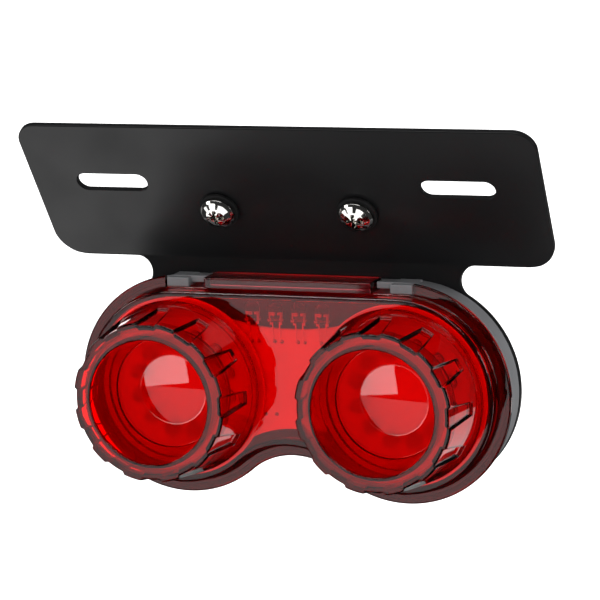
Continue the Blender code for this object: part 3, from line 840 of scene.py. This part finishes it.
@dataclass
class EyeRing:
    """An eye's ring: an outer wall with twelve scoops, a front web, and a smooth bowl wall, open behind."""

    name: str
    centre: float
    mouth_r: float = 21.45
    floor_r: float = 19.1
    rim_r: float = 27.4
    web: float = 1.7
    outer_wall: float = 1.9
    bowl_wall: float = 1.55
    notches: int = 12
    phase: float = math.radians(-0.5)
    depth: float = 0.9
    length: float = 16.0
    ramp: float = 0.8
    rim_half: float = 4.1
    end_half: float = 2.25
    edge: float = 0.65
    lip: float = 0.35
    side_run: float = 0.95  # millimetres over which a scoop's side falls at the rim; half that at its end
    back: float = field(init=False)
    front: float = field(init=False)
    base_r: float = field(init=False)
    bowl_end: float = field(init=False)

    def __post_init__(self) -> None:
        """Takes the ring's heights and base from the frame."""
        low, high = box_mm(f"eye_ring_{self.name}")
        self.back, self.front = low[2], high[2]
        self.base_r = (high[0] - low[0]) / 2
        self.bowl_end = box_mm(f"eye_lens_{self.name}")[1][2] + 0.3

    def outer(self, height: Array) -> Array:
        """The outer wall's radius, which grows evenly from the rim to the base."""
        return self.rim_r + (self.front - height) * (self.base_r - self.rim_r) / (self.front - self.back)

    def scoop(self, height: Array) -> Array:
        """A scoop's depth: full near the rim and eased to nothing at its end."""
        share = np.clip((height - (self.front - self.length)) / self.ramp, 0, 1)
        return self.depth * share * share * (3 - 2 * share)

    def bowl(self, height: Array) -> Array:
        """The bowl wall's inner radius, which shrinks evenly from the mouth to the floor."""
        share = (self.front - height) / (self.front - self.bowl_end)
        return self.mouth_r + (self.floor_r - self.mouth_r) * share

    def rows(self, cut: float) -> Array:
        """The ring's closed section.

        Args:
            cut: 0 on the lands between the scoops, 1 along a scoop's middle.

        Returns:
            (k, 2) rows, from the mouth over the rim, down the wall, and up through the cavity to the bowl.
        """
        end, front, lip = self.front - self.length, self.front, self.lip
        walls = np.concatenate(
            (
                np.linspace(front - self.edge, end + self.ramp, 9),
                np.linspace(end + self.ramp, end, 7)[1:],
                (end - 0.2,),
                np.linspace(end - 1, self.back + 0.35, 5),
            )
        )
        turn = np.linspace(0, math.pi / 2, 5)
        mouth = np.stack((self.mouth_r + lip - lip * np.cos(turn), front - lip + lip * np.sin(turn)), axis=1)
        corner = self.outer(np.array(front - self.edge)) - self.edge - cut * self.depth
        across = np.linspace(self.mouth_r + lip + SUPPORT, corner - SUPPORT, 4)
        face = np.stack((across, np.full(4, front)), axis=1)
        rim = np.stack((corner + self.edge * np.sin(turn), front - self.edge * (1 - np.cos(turn))), axis=1)
        outer = np.stack((self.outer(walls[1:]) - cut * self.scoop(walls[1:]), walls[1:]), axis=1)
        foot = np.array(((self.base_r - 0.05, self.back + 0.1), (self.base_r - 0.3, self.back)))
        inside = np.concatenate(((self.back + 0.3,), walls[::-1][1:-3], (front - self.web - 0.35,)))
        cavity = np.stack((self.outer(inside) - self.outer_wall - cut * self.scoop(inside), inside), axis=1)
        below = np.array(((self.base_r - self.outer_wall - 0.3, self.back),))
        under = front - self.web
        roof = np.array(((cavity[-1, 0] - 0.1, under - 0.1), (cavity[-1, 0] - 0.35, under)))
        heights = np.concatenate(((under - 0.35,), np.linspace(under - 1, self.bowl_end + 0.2, 6)))
        outside_bowl = np.stack((self.bowl(heights) + self.bowl_wall, heights), axis=1)
        roof_in = np.array(((outside_bowl[0, 0] + 0.35, under), (outside_bowl[0, 0] + 0.1, under - 0.1)))
        bottom_r = np.array((self.floor_r + self.bowl_wall - 0.15, self.floor_r + 0.15))
        bottom = np.stack((bottom_r, np.full(2, self.bowl_end)), axis=1)
        climb = np.linspace(self.bowl_end + 0.15, front - lip - SUPPORT, 9)
        inner = np.stack((self.bowl(climb), climb), axis=1)
        parts = (mouth, face, rim, outer, foot, below, cavity, roof, roof_in, outside_bowl, bottom, inner)
        return np.concatenate(parts)

    def rings(self) -> Array:
        """Both sections mixed round the ring: sides where the mix falls, and angles that follow the taper.

        A sector holds one scoop. Its samples sit at fixed shares of the scoop's half width, so their
        angles are share * half width / radius, and the rest of the sector is spread evenly.

        Returns:
            (k, n, 3) points.
        """
        land, scooped = self.rows(0.0), self.rows(1.0)
        height = land[:, 1]
        share = np.clip((self.front - height) / self.length, 0, 1)
        half = self.rim_half + (self.end_half - self.rim_half) * share
        half_angle = (half / self.outer(height))[:, None]
        run = (self.side_run * (1 - share / 2) / half)[:, None]
        fall = np.linspace(0, 1, 5)[None]
        ease = fall * fall * (3 - 2 * fall)
        left = (-1 + fall * run) * half_angle
        middle = np.linspace(-0.75, 0.75, 5)[None] * half_angle
        spread = np.linspace(0, 1, 10)[1:-1][None]
        gap = SUPPORT / self.rim_r
        rest = half_angle + gap + spread * (math.tau / self.notches - 2 * half_angle - 2 * gap)
        sector = np.concatenate((left, middle, -left[:, ::-1], rest), axis=1)
        blend = np.concatenate((ease[0], np.ones(5), ease[0, ::-1], np.zeros(8)))
        starts = self.phase + math.tau * np.arange(self.notches) / self.notches
        angles = (starts[None, :, None] + sector[:, None, :]).reshape(len(land), -1)
        mix = np.tile(blend, self.notches)[None]
        radius = land[:, :1] * (1 - mix) + scooped[:, :1] * mix
        flat_height = land[:, 1:] * (1 - mix) + scooped[:, 1:] * mix
        return np.stack((radius * np.cos(angles), radius * np.sin(angles), flat_height), axis=2)

    def build(self) -> None:
        """Makes the ring at its eye."""
        ring = Shape().loft(self.rings(), closed=True)
        piece = ring.build(f"finished_ring_{self.name}", LAMP.moved(self.centre, 0), EYE_ACRYLIC)
        hand_over(piece, "red_eye_lens", f"eye_ring_{self.name}")


@dataclass
class EyeFloor:
    """What lies at the bottom of an eye: the domed floor, the bright cup and its circle of LEDs."""

    name: str
    centre: float
    dome_r: float = 12.7
    dome_curve: float = 400.0
    apex: float = 25.9
    thick: float = 2.0
    cup_r: float = 23.0
    leds: int = 12
    circle_r: float = 16.0
    led_r: float = 2.3

    def floor(self) -> None:
        """The domed floor: a sphere's cap of radius dome_curve inside a cone that rises to the bowl wall."""
        low, high = box_mm(f"eye_lens_{self.name}")
        outer, top = (high[0] - low[0]) / 2, high[2]
        radii = np.linspace(0, self.dome_r, 14)
        fall = self.apex - self.dome_curve + np.sqrt(self.dome_curve**2 - radii**2)
        dome = np.stack((radii, fall), axis=1)
        cone = rounded(
            (
                (self.dome_r, fall[-1], 0),
                (outer - 1.8, top, 0.15),
                (outer, top, 0.2),
                (outer, top - self.thick, 0.2),
                (outer - 1.6, top - self.thick, 0.3),
                (self.dome_r + 0.4, fall[-1] - self.thick, 0),
            )
        )
        under = np.stack((radii[::-1], fall[::-1] - self.thick), axis=1)
        shape = turned(round_outline(count=120), np.concatenate((dome[:-1], cone, under[1:])))
        piece = shape.build(f"finished_eye_floor_{self.name}", LAMP.moved(self.centre, 0), FLOOR_ACRYLIC)
        hand_over(piece, "red_eye_lens", f"eye_lens_{self.name}")

    def cup(self) -> None:
        """The bright cup: a shallow cone round the LEDs with a rolled edge."""
        low, high = box_mm(f"reflector_{self.name}")
        outer, bottom, top = (high[0] - low[0]) / 2, low[2], high[2]
        corners = [(outer, top), (outer, top - 1.3), (self.cup_r, bottom), (self.cup_r, bottom + 1.3)]
        rows = rounded([(r, h, 0.3) for r, h in corners], closed=True)
        shape = turned(round_outline(count=120), rows, closed=True)
        piece = shape.build(f"finished_cup_{self.name}", LAMP.moved(self.centre, 0), METALLISED)
        hand_over(piece, "silvered_reflector", f"reflector_{self.name}")

    def light(self, number: int) -> None:
        """Makes one of the eye's LEDs: a short clear body with a white chip seat inside.

        Args:
            number: which one, from 1 round the circle.
        """
        angle = math.tau * (number - 0.5) / self.leds
        node = f"eye_led_{self.name}_{number:02d}"
        base = box_mm(node)[0][2]
        turn = np.linspace(0, math.pi / 2, 7)
        dome = np.stack((self.led_r * np.sin(turn), base + 3.1 + self.led_r * np.cos(turn)), axis=1)
        foot_r = self.led_r + 0.4
        foot = ((self.led_r, base + 1.0), (foot_r, base + 1.0), (foot_r, base), (0.0, base))
        stand = LAMP.moved(self.centre + self.circle_r * math.cos(angle), self.circle_r * math.sin(angle))
        body = turned(round_outline(count=24), np.concatenate((dome, foot)))
        hand_over(body.build(f"finished_{node}", stand, CLEAR_EPOXY), "clear_led", node)
        corners = ((0, 2.2, 0), (0.5, 2.2, 0.05), (1.0, 2.9, 0.05), (1.2, 0.3, 0.05), (0, 0.3, 0))
        seat = turned(round_outline(count=16), rounded([(r, base + h, f) for r, h, f in corners], steps=2))
        hand_over(seat.build(f"chip_seat_{self.name}_{number:02d}", stand, SOLDER_MASK), "clear_led")

    def build(self) -> None:
        """Makes everything at the bottom of the eye."""
        self.floor()
        self.cup()
        for number in range(1, self.leds + 1):
            self.light(number)


@dataclass
class LicenceLight:
    """Four LEDs that point up at the licence plate, and the clear bar that lets their light out."""

    body_r: float = 2.5
    collar_r: float = 2.9
    lead_gap: float = 2.54
    lead_half: float = 0.2
    lead_drop: float = 6.9
    window_wall: float = 1.3
    window_inset: float = 0.78
    block_half: float = 0.45
    # The lead frame's anvil and post are two blocks each: their ends across and their heights.
    blocks: tuple[tuple[float, float, float, float], ...] = (
        (-2.15, -0.2, 2.0, 3.1),
        (-2.15, -1.2, -1.3, 2.05),
        (0.5, 2.15, 2.1, 3.0),
        (1.2, 2.15, -1.3, 2.15),
    )

    def window(self) -> None:
        """The clear bar: a round-edged box with a pocket from below."""
        low, high = box_mm("plate_window")
        outline, inset = block_outline(low[[0, 2]], high[[0, 2]], 0.8), -self.window_inset
        stand = Stand(up=(0.0, -1.0, 0.0), out=(0.0, 0.0, 1.0))
        # Seen from above the bar's outline runs clockwise, so its rows climb.
        rows = ((inset, low[1], 0), (0, low[1], 0.3), (0, high[1], 0.7), (inset, high[1], 0))
        box = Shape().loft(outline.sweep(rounded(rows, steps=5))[:, ::-1])
        window = box.build("finished_window", stand, PINK_POLYCARBONATE)
        inner = block_outline(low[[0, 2]] + self.window_wall, high[[0, 2]] - self.window_wall, 0.4)
        pocket_rows = np.array(((0.0, low[1] - 1), (0.0, high[1] - 1.4)))
        pocket = Shape().loft(inner.sweep(pocket_rows)[:, ::-1]).build("pocket", stand)
        combine(window, pocket, Operation.CUT)
        hand_over(window, "clear_window", "plate_window")

    def lead(self, shape: Shape, x: float, reach: float) -> None:
        """Adds a square wire that comes down from an LED and turns back to the board.

        Each corner of the wire's section runs along the bent middle line, half a side to its left or right.

        Args:
            shape: the lead frame that the wire belongs to.
            x: how far across it lies.
            reach: how far back the board is.
        """
        half, drop = self.lead_half, self.lead_drop
        bend = rounded(((0.0, 1.0, 0), (0.0, -drop, 0.6), (reach, -drop - 0.4, 0)), steps=5)
        ahead = np.gradient(bend, axis=0)
        ahead /= np.linalg.norm(ahead, axis=1)[:, None]
        side = np.stack((-ahead[:, 1], ahead[:, 0]), axis=1)
        rings = []
        for across, along in ((-1, 1), (1, 1), (1, -1), (-1, -1)):
            spot = bend + side * (along * half)
            rings.append(np.stack((np.full(len(bend), x + across * half), spot[:, 0], spot[:, 1]), axis=1))
        shape.loft(np.stack(rings, axis=1))

    def light(self, number: int) -> None:
        """Makes one 5 mm LED: body and collar, and inside it the lead frame with its two leads.

        Args:
            number: which one, from 1 at the left.
        """
        node = f"plate_led_{number}"
        low, high = box_mm(node)
        x, top = (low[0] + high[0]) / 2, high[1]
        height = high[2] - self.collar_r
        base = top - 7.0
        stand = LAMP.moved(x, base, height).upended()
        turn = np.linspace(0, math.pi / 2, 9)
        dome = np.stack((self.body_r * np.sin(turn), 4.5 + self.body_r * np.cos(turn)), axis=1)
        inner, outer = self.body_r, self.collar_r
        corners = ((inner, 4.0, 0), (inner, 1.0, 0.15), (outer, 1.0, 0.1), (outer, 0.0, 0.1), (0, 0, 0))
        body = turned(round_outline(count=48), np.concatenate((dome, rounded(corners, steps=2))))
        hand_over(body.build(f"finished_{node}", stand, CLEAR_EPOXY), "clear_led", node)
        metal = Shape()
        for near, far, low_end, high_end in self.blocks:
            block = block_outline((near, -self.block_half), (far, self.block_half), 0.12)
            metal.loft(block.sweep(np.array(((0.0, high_end), (0.0, low_end)))))
        reach = height - box_mm("circuit_board")[1][2] - 0.1
        for side in (-1, 1):
            self.lead(metal, side * self.lead_gap / 2, reach)
        hand_over(metal.build(f"lead_frame_{number}", stand, SILVER), "clear_led")

    def build(self) -> None:
        """Makes the bar and the four LEDs."""
        self.window()
        for number in range(1, 5):
            self.light(number)


@dataclass
class Board:
    """The circuit board behind both eyes, with its plated holes and their tinned rims."""

    shape: LampShape
    sag_r: float = 94.0
    sag_low: float = 20.5
    pad_r: float = 0.7
    hole_r: float = 0.45
    led_gap: float = 2.54
    led_row: float = 16.2
    led_xs: tuple[float, ...] = (-12.6, -4.2, 4.2, 12.6)
    low_row: float = -9.1
    low_xs: tuple[float, ...] = (-14.0, -10.0, -5.9, 5.9, 10.0, 14.0)

    def plate(self) -> None:
        """The board itself: its top edge sags in an arc towards the middle."""
        low, high = box_mm("circuit_board")
        radius = high[0] - self.shape.eye_x
        inner, front, back = radius - 1, high[2], low[2]
        rows = ((inner, front, 0), (radius, front, 0.1), (radius, back, 0.1), (inner, back, 0))
        plate = turned(self.shape.outline(), rounded(rows, steps=2))
        board = plate.build("finished_board", LAMP, SOLDER_MASK)
        sag = bar(round_outline((0, self.sag_low + self.sag_r), 360), 10.0, 20.0, self.sag_r)
        combine(board, sag.build("sag"), Operation.CUT)
        drills = Shape()
        for x, y in self.places():
            drills.loft(round_outline((x, y), 20).sweep(np.array(((self.hole_r, 20.0), (self.hole_r, 5.0)))))
        combine(board, drills.build("drills"), Operation.CUT)
        hand_over(board, "white_board", "circuit_board")

    def places(self) -> Array:
        """Lists the plated holes: two for each plate LED, and a row under the eyes' centres.

        Returns:
            (n, 2) centres.
        """
        leds = [(x + s * self.led_gap / 2, self.led_row) for x in self.led_xs for s in (-1, 1)]
        return np.array(leds + [(x, self.low_row) for x in self.low_xs])

    def solder(self) -> None:
        """A tinned rim round each hole: a flat ring with an eased outer edge."""
        front = box_mm("circuit_board")[1][2]
        corners = ((self.hole_r, 0.05), (self.pad_r - 0.05, 0.05), (self.pad_r, 0.01), (self.hole_r, 0.01))
        rims = Shape()
        for x, y in self.places():
            rims.loft(round_outline((x, y), 20).sweep(np.array(corners) + (0, front)), closed=True)
        hand_over(rims.build("solder_rims", LAMP, TIN), "white_board")

    def build(self) -> None:
        """Makes the board and what is soldered on it."""
        self.plate()
        self.solder()


@dataclass
class Fasteners:
    """The plate's cross-head screws and the lamp's studs, all M6, with their washers and nuts."""

    plate: Stand
    screw_x: float = 25.0
    stud_x: float = 24.0
    pitch: float = 1.0
    major_r: float = 3.0
    thread_depth: float = 0.5
    across_flats: float = 10.0
    bore_r: float = 3.05
    clear_r: float = 3.35
    under_head: float = 1.8
    head_top: float = 5.2

    def thread(self, top: float, bottom: float) -> Array:
        """A helical surface: the radius is a triangle wave of height / pitch - angle / one turn.

        Args:
            top: the height where the thread starts.
            bottom: the height where it ends, drawn in to a blunt point.

        Returns:
            (k, n, 3) rings, from the top down.
        """
        count = 28
        height = np.linspace(top, bottom, int((top - bottom) / self.pitch * 8))[:, None]
        angle = np.linspace(0, math.tau, count + 1)[None, :-1]
        wave = np.abs(2 * np.mod(height / self.pitch - angle / math.tau, 1.0) - 1)
        radius = self.major_r - self.thread_depth * wave
        radius = np.minimum(radius, self.major_r - 0.9 + (height - bottom) * 1.1)
        radius = np.minimum(radius, self.major_r - self.thread_depth + (top - height) * 1.5)
        full = np.broadcast_to(height, radius.shape)
        return np.stack((radius * np.cos(angle), radius * np.sin(angle), full), axis=2)

    def nut(self, node: str, stand: Stand, low: float, high: float) -> None:
        """A hexagon nut: the radius is the smaller of the hexagon's and a chamfer cone's.

        Args:
            node: the CAD node.
            stand: its axis is the nut's.
            low: the height of its back.
            high: the height of its front.
        """
        count = 96
        angle = np.linspace(0, math.tau, count + 1)[:-1]
        hexagon = self.across_flats / 2 / np.cos(np.mod(angle, math.pi / 3) - math.pi / 6)
        steps = np.array((0.0, 0.1, 0.25, 0.45, 0.7))
        heights = np.concatenate((high - steps, low + steps[::-1]))
        cone = self.across_flats / 2 - 0.25 + np.minimum(high - heights, heights - low) * 1.7
        outer = np.minimum(hexagon[None], cone[:, None])
        bore_radii = np.array((self.clear_r, self.bore_r, self.bore_r, self.clear_r))
        bore = bore_radii[:, None] * np.ones((1, count))
        bore_heights = np.array((low, low + 0.35, high - 0.35, high))
        radius = np.concatenate((outer, bore))
        height = np.broadcast_to(np.concatenate((heights, bore_heights))[:, None], radius.shape)
        rings = np.stack((radius * np.cos(angle), radius * np.sin(angle), height), axis=2)
        piece = Shape().loft(rings, closed=True).build(f"finished_{node}", stand, ZINC)
        hand_over(piece, "zinc_steel", node)

    def washer(
        self, node: str, stand: Stand, size: tuple[float, float, float], finish: Finish, slot: str
    ) -> None:
        """A flat washer with eased edges.

        Args:
            node: the CAD node.
            stand: its axis is the washer's.
            size: the outer radius and the heights of the back and the front.
            finish: what it is made of.
            slot: the record's material slot.
        """
        radius, low, high = size
        inner = self.clear_r
        corners = ((radius, high, 0.25), (radius, low, 0.25), (inner, low, 0.15), (inner, high, 0.15))
        shape = turned(round_outline(count=72), rounded(corners, closed=True, steps=3), closed=True)
        hand_over(shape.build(f"finished_{node}", stand, finish), slot, node)

    def screw(self, name: str, stand: Stand) -> None:
        """A pan-head screw: the head is a flat dome, and two tapered blades sink its cross.

        Args:
            name: the side's name.
            stand: its axis is the screw's.
        """
        low, top = self.under_head, self.head_top
        corners = (
            (0.0, top, 0),
            (1.5, top - 0.08, 0),
            (3.4, top - 0.5, 1.5),
            (5.2, top - 1.5, 1.2),
            (6.0, low + 1.0, 0.5),
            (6.0, low, 0.2),
            (2.4, low, 0),
        )
        rows = np.concatenate((rounded(corners, steps=5), ((0.0, low),)))
        piece = turned(round_outline(count=96), rows).build(f"finished_screw_{name}", stand, CHROME)
        for reach in ((2.9, 0.62), (0.62, 2.9)):
            outline = block_outline((-reach[0], -reach[1]), reach, 0.25, 4)
            taper = ((0.35, top + 1), (0.1, top - 0.3), (-0.12, top - 1.6), (-0.24, top - 2.2))
            blade = turned(outline, taper)
            combine(piece, blade.build("blade", stand), Operation.CUT)
        shank = Shape().loft(self.thread(low + 0.4, -12.0)).build("shank", stand)
        combine(piece, shank, Operation.JOIN)
        hand_over(piece, "chrome_steel", f"plate_screw_{name}")

    def stud(self, name: str, stand: Stand) -> None:
        """A stud with a round head inside the housing and its thread through the bracket.

        Args:
            name: the side's name.
            stand: its axis is the stud's.
        """
        low, high = box_mm(f"mount_stud_{name}")
        top, neck = high[2], high[2] - 4
        head = rounded(((0.0, top, 0), (5.0, top, 0.5), (5.0, neck, 0.3), (2.4, neck, 0), (0, neck, 0)))
        piece = turned(round_outline(count=64), head).build(f"finished_stud_{name}", stand, ZINC)
        thread = Shape().loft(self.thread(high[2] - 3.7, low[2])).build("thread", stand)
        combine(piece, thread, Operation.JOIN)
        hand_over(piece, "zinc_steel", f"mount_stud_{name}")

    def build(self) -> None:
        """Makes every fastener on both sides."""
        for name, side in SIDES:
            front = self.plate.moved(side * self.screw_x, 0)
            self.washer(f"plate_washer_{name}", front, (7.0, 0.3, 1.5), RUBBER, "black_rubber")
            self.screw(name, front)
            self.nut(f"plate_nut_{name}", front, -7.3, -2.3)
            back = LAMP.moved(side * self.stud_x, 0)
            self.stud(name, back)
            self.washer(f"mount_washer_{name}", back, (6.4, -1.9, -0.3), ZINC, "zinc_steel")
            self.nut(f"mount_nut_{name}", back, -7.2, -2.2)


@dataclass
class Outlet:
    """The rubber grommet in the cord's outlet hole."""

    up: float = 6.0
    sleeve_r: float = 6.0
    bore_r: float = 2.6

    def build(self) -> None:
        """Turns the grommet: a sleeve through the hole with a flange behind."""
        low, high = box_mm("cable_grommet")
        flange_r, back, front = (high[0] - low[0]) / 2, low[2], high[2]
        corners = (
            (self.sleeve_r, front, 0.3),
            (self.sleeve_r, -0.3, 0.1),
            (flange_r, -0.3, 0.3),
            (flange_r, back, 0.8),
            (self.bore_r, back, 0.5),
            (self.bore_r, front, 0.3),
        )
        shape = turned(round_outline(count=72), rounded(corners, closed=True), closed=True)
        piece = shape.build("finished_grommet", LAMP.moved(0, self.up), RUBBER)
        hand_over(piece, "black_rubber", "cable_grommet")


# Studio


@dataclass(frozen=True)
class Softbox:
    """A rectangular light that faces the lamp: azimuth 0 is in front of it, positive to the right."""

    azimuth: float
    elevation: float
    width: float
    height: float
    radiance: float
    distance: float = 1.5
    roll: float = 0.0
    lit: tuple[str, ...] = ()  # starts of the names of the only pieces that it lights; empty lights all

    def build(self, name: str) -> None:
        """Hangs the light; its power is radiance * pi * area.

        Args:
            name: the light's name.
        """
        azimuth, elevation = math.radians(self.azimuth), math.radians(self.elevation)
        level = math.cos(elevation)
        away = Vector((math.sin(azimuth) * level, -math.cos(azimuth) * level, math.sin(elevation)))
        data = bpy.data.lights.new(name, "AREA")
        data.shape = "RECTANGLE"
        data.size, data.size_y = self.width, self.height
        data.energy = self.radiance * math.pi * self.width * self.height
        light = bpy.data.objects.new(name, data)
        light.location = away * self.distance
        facing = away.to_track_quat("Z", "Y").to_matrix().to_4x4()
        light.rotation_euler = (facing @ Matrix.Rotation(math.radians(self.roll), 4, "Z")).to_euler()
        light.visible_camera = False
        bpy.context.scene.collection.objects.link(light)
        if self.lit:
            receivers = bpy.data.collections.new(f"{name}_receivers")
            for piece in bpy.data.objects:
                if piece.name.startswith(self.lit):
                    receivers.objects.link(piece)
            light.light_linking.receiver_collection = receivers


@dataclass
class Studio:
    """A plain pale floor, soft lights, and the camera at its viewing angle."""

    target: tuple[float, float, float] = (11.6, -34.96, 34.71)  # millimetres, as is the distance
    distance: float = 1074.79
    azimuth: float = 21.861
    elevation: float = 11.017
    roll: float = -2.284
    lens: float = 195.07
    floor_drop: float = 0.3
    floor_half: float = 8.0
    ambient: float = 2.3
    glossy: float = 0.03

    def camera(self) -> None:
        """Aims the camera: right and up are turned by its roll about the line of sight."""
        azimuth, elevation, roll = (math.radians(a) for a in (self.azimuth, self.elevation, self.roll))
        level = math.cos(elevation)
        back = Vector((math.sin(azimuth) * level, -math.cos(azimuth) * level, math.sin(elevation)))
        right = Vector((math.cos(azimuth), math.sin(azimuth), 0.0))
        up = back.cross(right)
        across = right * math.cos(roll) + up * math.sin(roll)
        over = back.cross(across)
        data = bpy.data.cameras.new("camera")
        data.lens, data.sensor_width = self.lens, 36.0
        data.clip_start, data.clip_end = 0.01, 100.0
        made = bpy.data.objects.new("camera", data)
        place = (Vector(self.target) + back * self.distance) * MM
        made.matrix_world = Matrix.Translation(place) @ Matrix((across, over, back)).transposed().to_4x4()
        bpy.context.scene.collection.objects.link(made)
        bpy.context.scene.camera = made

    def floor(self) -> None:
        """A large pale floor, lower than everything."""
        half = self.floor_half
        corners = [(x * half, y * half, -self.floor_drop) for x, y in ((-1, -1), (1, -1), (1, 1), (-1, 1))]
        mesh = bpy.data.meshes.new("floor")
        mesh.from_pydata(corners, [], [(0, 1, 2, 3)])
        floor = bpy.data.objects.new("floor", mesh)
        mesh.materials.append(FLOOR_PAINT.material())
        floor.visible_glossy = False
        floor.visible_transmission = False
        bpy.context.scene.collection.objects.link(floor)

    def world(self) -> None:
        """Lights the scene evenly: white to the camera, dim where a surface mirrors it, full for the rest.

        A ray that crosses clear plastic after it was scattered counts as full, so the lamp's inside is lit.
        """
        world = bpy.data.worlds.new("studio")
        bpy.context.scene.world = world
        world.use_nodes = True
        tree = world.node_tree
        shader = tree.nodes["Background"]
        path = add_node(tree, "ShaderNodeLightPath")
        sockets = {0: path.outputs["Diffuse Depth"], 1: 0.5}
        unscattered = add_node(tree, "ShaderNodeMath", sockets, operation="LESS_THAN")
        sockets = {0: path.outputs["Is Glossy Ray"], 1: unscattered.outputs["Value"]}
        mirrored = add_node(tree, "ShaderNodeMath", sockets, operation="MULTIPLY")
        sockets = {"Value": mirrored.outputs["Value"], "To Min": self.ambient, "To Max": self.glossy}
        glossy = add_node(tree, "ShaderNodeMapRange", sockets)
        sockets = {"Factor": path.outputs["Is Camera Ray"], "A": glossy.outputs["Result"], "B": 1.0}
        seen = add_node(tree, "ShaderNodeMix", sockets, data_type="FLOAT")
        tree.links.new(seen.outputs["Result"], shader.inputs["Strength"])
        shader.inputs["Color"].default_value = (1.0, 1.0, 1.0, 1.0)

    def lights(self) -> None:
        """Hangs the softboxes: a key and a fill for each eye's dome, and the rest for faces and edges."""
        left_dome, right_dome = ("finished_eye_floor_left",), ("finished_eye_floor_right",)
        reds = ("finished_lens", "finished_ring", "finished_window")
        edges = (*reds, "finished_screw", "finished_bracket", "lead_frame")
        heads, ring, lens = ("finished_screw",), ("finished_ring_left",), ("finished_lens",)
        # Azimuth, elevation, width, height, radiance, distance, roll, and what it lights.
        boxes = {
            "left_dome_key": Softbox(-28.2, -8.57, 0.31, 0.2, 5.0, 1.755, 5.0, left_dome),
            "left_dome_fill": Softbox(-26.5, -15.0, 0.46, 0.194, 1.0, 1.765, -4.0, left_dome),
            "right_dome_key": Softbox(-22.45, -8.94, 0.243, 0.197, 5.0, 1.671, 4.0, right_dome),
            "right_dome_fill": Softbox(-20.0, -15.9, 0.404, 0.195, 1.0, 1.687, -4.5, right_dome),
            "front_left": Softbox(-24, -13, 0.75, 0.45, 1.25, lit=reds),
            "upper_left": Softbox(-58, 22, 0.6, 0.5, 4.0, lit=edges),
            "overhead": Softbox(-10, 68, 1.6, 0.9, 2.4, lit=edges),
            "top_strip": Softbox(-60, 63, 0.7, 0.4, 8.0, lit=lens),
            "right_strip": Softbox(68, 18, 0.35, 0.5, 5.0, lit=lens),
            "front_strip": Softbox(20, 33, 0.6, 0.3, 4.0, lit=reds),
            "right_side": Softbox(95, 12, 0.9, 0.7, 1.6),
            "back_right": Softbox(140, -28, 1.2, 0.8, 1.2),
            "back_left": Softbox(-153, -4, 1.1, 0.7, 2.5, lit=ring),
            "below_left": Softbox(-70, -34, 0.25, 0.3, 2.3, 0.36, lit=("finished_bracket",)),
            "below_right": Softbox(5, -61.6, 0.12, 0.2, 0.8, 0.225, lit=("finished_bracket",)),
            "heads_wide": Softbox(-25, -38, 1.5, 0.7, 1.6, 0.8, 4.0, heads),
            "heads_high": Softbox(-30, 5, 0.4, 0.5, 1.8, 0.8, lit=heads),
        }
        for name, softbox in boxes.items():
            softbox.build(name)

    def build(self) -> None:
        """Sets up the whole studio."""
        bpy.context.scene.view_settings.view_transform = "Standard"
        self.camera()
        self.floor()
        self.world()
        self.lights()


def main() -> None:
    """Builds every sub-assembly in order, then the studio."""
    logging.basicConfig(level=logging.INFO, format="%(name)s: %(message)s")
    low, high = box_mm("eye_ring_right")
    eye_x = (low[0] + high[0]) / 2
    shape = LampShape(eye_x)
    bracket = Bracket(shape)
    bracket.build()
    Housing(shape).build()
    cover = LensCover(shape)
    cover.build()
    cover.seal()
    Board(shape).build()
    LicenceLight().build()
    for name, side in SIDES:
        EyeRing(name, side * eye_x).build()
        EyeFloor(name, side * eye_x).build()
    Fasteners(bracket.plate_stand()).build()
    Outlet().build()
    Studio().build()


if __name__ == "__main__":
    main()
